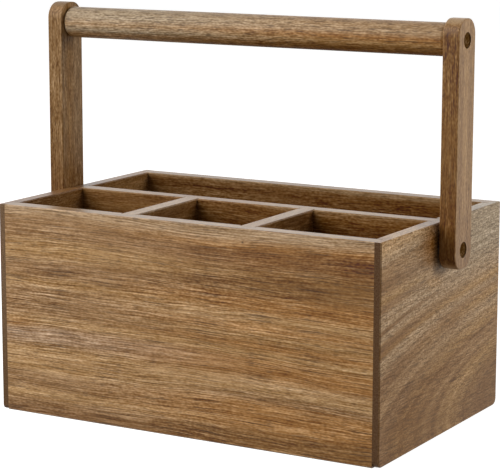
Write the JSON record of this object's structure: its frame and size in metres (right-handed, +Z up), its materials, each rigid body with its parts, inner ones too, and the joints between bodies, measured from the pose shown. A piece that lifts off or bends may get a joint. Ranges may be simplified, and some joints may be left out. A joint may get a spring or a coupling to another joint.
{
  "type": "utensil caddy",
  "caption": "Open wooden utensil caddy: a rabbeted board box with a long rear compartment, smaller front compartments and a swinging bar handle.",
  "frame": {"origin": "middle of the box's footprint, on the surface that it stands on", "axes": "+X along the box to the right, +Y to the back, +Z up"},
  "size_m": [0.328, 0.19, 0.2845],
  "materials": {
    "front_acacia": "oiled acacia, straight brown streaks along the length",
    "rear_acacia": "oiled acacia, straight brown streaks along the length",
    "end_acacia": "oiled acacia, greyer, sloping figure",
    "floor_acacia": "oiled acacia",
    "divider_acacia": "oiled acacia",
    "arm_acacia": "oiled acacia, grain along the arm",
    "bar_acacia": "turned and oiled acacia, flecked grain",
    "plug_walnut": "dark end grain, sanded",
    "screw_steel": "zinc-plated steel",
    "washer_nylon": "black moulded nylon"
  },
  "bodies": {
    "box": {"front_panel": "front_acacia", "rear_panel": "rear_acacia", "left_end_panel": "end_acacia", "right_end_panel": "end_acacia", "bottom_panel": "floor_acacia", "long_divider": "divider_acacia", "left_cross_divider": "divider_acacia", "right_cross_divider": "divider_acacia", "left_pivot_screw": "screw_steel", "right_pivot_screw": "screw_steel", "left_pivot_washer": "washer_nylon", "right_pivot_washer": "washer_nylon"},
    "handle": {"left_arm": "arm_acacia", "right_arm": "arm_acacia", "handle_bar": "bar_acacia", "left_bar_screw": "screw_steel", "right_bar_screw": "screw_steel", "left_pivot_plug": "plug_walnut", "right_pivot_plug": "plug_walnut", "left_bar_plug": "plug_walnut", "right_bar_plug": "plug_walnut"}
  },
  "joints": [
    {"name": "handle_swing", "type": "hinge", "parent": "box", "child": "handle", "pos_m": [0, 0, 0.13], "axis": [1, 0, 0], "range_deg": [-130, 130]}
  ]
}
